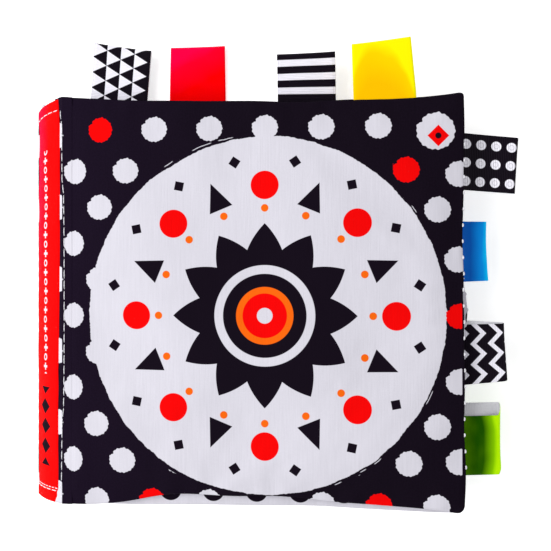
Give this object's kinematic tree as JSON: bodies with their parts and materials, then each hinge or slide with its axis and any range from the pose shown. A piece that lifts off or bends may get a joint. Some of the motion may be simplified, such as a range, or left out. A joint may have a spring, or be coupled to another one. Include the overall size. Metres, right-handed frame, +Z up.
{
  "type": "crinkle book",
  "caption": "Closed cloth crinkle book: padded covers and leaves that turn on a soft spine, with folded ribbon tags sewn into the free edges.",
  "frame": {"origin": "middle of the whole book's box, on the flat underside of the back cover", "axes": "+X from the spine to the fore edge, +Y to the head of the page, +Z up through the front cover"},
  "size_m": [0.1802, 0.1766, 0.0324],
  "materials": {
    "black_dotted_cloth": "matt woven",
    "page_cloth_light": "matt woven",
    "page_cloth_dark": "matt woven",
    "red_cloth": "matt woven",
    "wadding": "soft",
    "crinkle_film": "glossy, wrinkled",
    "white_thread": "matt woven",
    "black_thread": "matt woven",
    "printed_ribbon": "ribbed, printed",
    "yellow_satin": "satin sheen",
    "blue_satin": "satin sheen",
    "green_satin": "satin sheen",
    "red_satin": "satin sheen"
  },
  "bodies": {
    "back_cover": {"back_cover_outer_cloth": "black_dotted_cloth", "back_cover_inner_cloth": "page_cloth_light", "back_cover_wadding": "wadding", "back_cover_crinkle_film": "crinkle_film", "back_cover_edge_thread": "black_thread"},
    "spine": {"spine_red_strip": "red_cloth", "spine_front_margin": "black_dotted_cloth", "spine_back_margin": "black_dotted_cloth", "spine_lining": "page_cloth_light", "spine_wadding": "wadding", "spine_head_hem": "red_cloth", "spine_tail_hem": "red_cloth", "spine_head_stitching": "white_thread", "spine_tail_stitching": "white_thread", "back_crease_stitching": "white_thread"},
    "front_cover": {"front_cover_outer_cloth": "black_dotted_cloth", "front_cover_inner_cloth": "page_cloth_light", "front_cover_wadding": "wadding", "front_cover_crinkle_film": "crinkle_film", "front_cover_edge_thread": "black_thread", "front_crease_stitching": "white_thread"},
    "leaf_1": {"leaf_1_upper_cloth": "page_cloth_light", "leaf_1_lower_cloth": "page_cloth_dark", "leaf_1_wadding": "wadding", "leaf_1_crinkle_film": "crinkle_film", "leaf_1_edge_thread": "black_thread", "leaf_1_binding_thread": "black_thread"},
    "leaf_2": {"leaf_2_upper_cloth": "page_cloth_light", "leaf_2_lower_cloth": "page_cloth_dark", "leaf_2_wadding": "wadding", "leaf_2_crinkle_film": "crinkle_film", "leaf_2_edge_thread": "black_thread", "leaf_2_binding_thread": "black_thread"},
    "leaf_3": {"leaf_3_upper_cloth": "page_cloth_light", "leaf_3_lower_cloth": "page_cloth_dark", "leaf_3_wadding": "wadding", "leaf_3_crinkle_film": "crinkle_film", "leaf_3_edge_thread": "black_thread", "leaf_3_binding_thread": "black_thread"},
    "leaf_4": {"leaf_4_upper_cloth": "page_cloth_light", "leaf_4_lower_cloth": "page_cloth_dark", "leaf_4_wadding": "wadding", "leaf_4_crinkle_film": "crinkle_film", "leaf_4_edge_thread": "black_thread", "leaf_4_binding_thread": "black_thread"},
    "triangle_loop": {"triangle_tag": "printed_ribbon"},
    "red_satin_loop": {"red_satin_tag": "red_satin"},
    "stripe_loop": {"stripe_tag": "printed_ribbon"},
    "yellow_satin_loop": {"yellow_satin_tag": "yellow_satin"},
    "dot_loop": {"dot_tag": "printed_ribbon"},
    "blue_satin_loop": {"blue_satin_tag": "blue_satin"},
    "chevron_loop": {"chevron_tag": "printed_ribbon"},
    "green_satin_loop": {"green_satin_tag": "green_satin"}
  },
  "joints": [
    {"name": "back_crease_fold", "type": "hinge", "parent": "back_cover", "child": "spine", "pos_m": [-0.09017, -0.01099, 0.0005], "axis": [0, -1, 0], "range_deg": [0, 125]},
    {"name": "front_crease_fold", "type": "hinge", "parent": "spine", "child": "front_cover", "pos_m": [-0.07737, -0.01099, 0.0172], "axis": [0, -1, 0], "range_deg": [0, 49.5]},
    {"name": "leaf_1_turn", "type": "hinge", "parent": "spine", "child": "leaf_1", "pos_m": [-0.07796, -0.01239, 0.01405], "axis": [0, -1, 0], "range_deg": [0, 25.5]},
    {"name": "leaf_2_turn", "type": "hinge", "parent": "spine", "child": "leaf_2", "pos_m": [-0.08037, -0.01239, 0.0109], "axis": [0, -1, 0], "range_deg": [-5.5, 0]},
    {"name": "leaf_3_turn", "type": "hinge", "parent": "spine", "child": "leaf_3", "pos_m": [-0.08278, -0.01239, 0.00775], "axis": [0, -1, 0], "range_deg": [-65.5, 0]},
    {"name": "leaf_4_turn", "type": "hinge", "parent": "spine", "child": "leaf_4", "pos_m": [-0.0852, -0.01239, 0.0046], "axis": [0, -1, 0], "range_deg": [-95.5, 0]},
    {"name": "triangle_flop", "type": "hinge", "parent": "leaf_4", "child": "triangle_loop", "pos_m": [-0.05841, 0.06322, 0.00526], "axis": [-0.9991, 0.0333, -0.0244], "range_deg": [-40, 40], "stiffness_Nm_per_rad": 0.002},
    {"name": "red_satin_flop", "type": "hinge", "parent": "back_cover", "child": "red_satin_loop", "pos_m": [-0.02788, 0.06422, 0.0005], "axis": [-0.9999, 0.0101, 0], "range_deg": [-40, 40], "stiffness_Nm_per_rad": 0.002},
    {"name": "stripe_flop", "type": "hinge", "parent": "leaf_3", "child": "stripe_loop", "pos_m": [0.01473, 0.06255, 0.01184], "axis": [-0.999, -0.0177, -0.0419], "range_deg": [-40, 40], "stiffness_Nm_per_rad": 0.002},
    {"name": "yellow_satin_flop", "type": "hinge", "parent": "front_cover", "child": "yellow_satin_loop", "pos_m": [0.04247, 0.06496, 0.02853], "axis": [-0.995, -0.0327, -0.0941], "range_deg": [-40, 40], "stiffness_Nm_per_rad": 0.002},
    {"name": "dot_flop", "type": "hinge", "parent": "front_cover", "child": "dot_loop", "pos_m": [0.07123, 0.03973, 0.03125], "axis": [0.0158, 0.9999, 0.0015], "range_deg": [-40, 40], "stiffness_Nm_per_rad": 0.002},
    {"name": "blue_satin_flop", "type": "hinge", "parent": "leaf_1", "child": "blue_satin_loop", "pos_m": [0.0719, 0.00734, 0.02558], "axis": [0.0073, 1, 0.0006], "range_deg": [-50, 25], "stiffness_Nm_per_rad": 0.002},
    {"name": "chevron_flop", "type": "hinge", "parent": "leaf_1", "child": "chevron_loop", "pos_m": [0.07189, -0.03053, 0.02558], "axis": [-0.0067, 1, -0.0005], "range_deg": [-40, 40], "stiffness_Nm_per_rad": 0.002},
    {"name": "green_satin_flop", "type": "hinge", "parent": "leaf_2", "child": "green_satin_loop", "pos_m": [0.07006, -0.06506, 0.01984], "axis": [-0.0163, 0.9999, -0.001], "range_deg": [-40, 40], "stiffness_Nm_per_rad": 0.002}
  ],
  "couplings": [
    {"joint": "front_crease_fold", "follows": "back_crease_fold", "ratio": 0.392},
    {"joint": "leaf_1_turn", "follows": "back_crease_fold", "ratio": 0.2},
    {"joint": "leaf_2_turn", "follows": "back_crease_fold", "ratio": -0.04},
    {"joint": "leaf_3_turn", "follows": "back_crease_fold", "ratio": -0.52},
    {"joint": "leaf_4_turn", "follows": "back_crease_fold", "ratio": -0.76}
  ]
}
